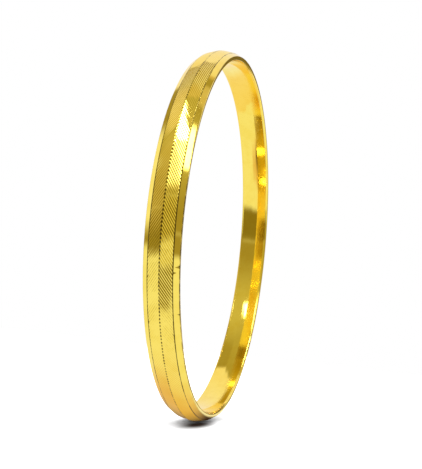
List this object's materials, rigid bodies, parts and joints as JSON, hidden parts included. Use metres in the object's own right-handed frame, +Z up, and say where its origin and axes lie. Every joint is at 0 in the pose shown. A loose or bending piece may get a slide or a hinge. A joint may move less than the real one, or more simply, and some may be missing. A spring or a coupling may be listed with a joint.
{
  "type": "bangle bracelet",
  "caption": "Slim hollow closed bangle, upright: two hatched facets meet in a ridge between plain bevels, with a comfort-fit lining band.",
  "frame": {"origin": "centre of the bore, midway between the two rims", "axes": "+Y along the bore axis, +Z up with the bangle standing on its ridge, +X along the band's own plane"},
  "size_m": [0.064, 0.0054, 0.064],
  "materials": {
    "cut_gold": "gold plated over brass, bright turned facets with fine cut lines",
    "polished_gold": "gold plated over brass, polished smooth",
    "bare_brass": "bare rolled brass, inside the hollow",
    "solder": "brazing alloy, filed flush and gold plated"
  },
  "bodies": {
    "root": {"outer_shell": "cut_gold", "inner_liner": "polished_gold", "seam_splint": "bare_brass", "shell_seam_solder": "solder", "liner_seam_solder": "solder", "front_rim_solder": "solder", "back_rim_solder": "solder"}
  },
  "joints": []
}
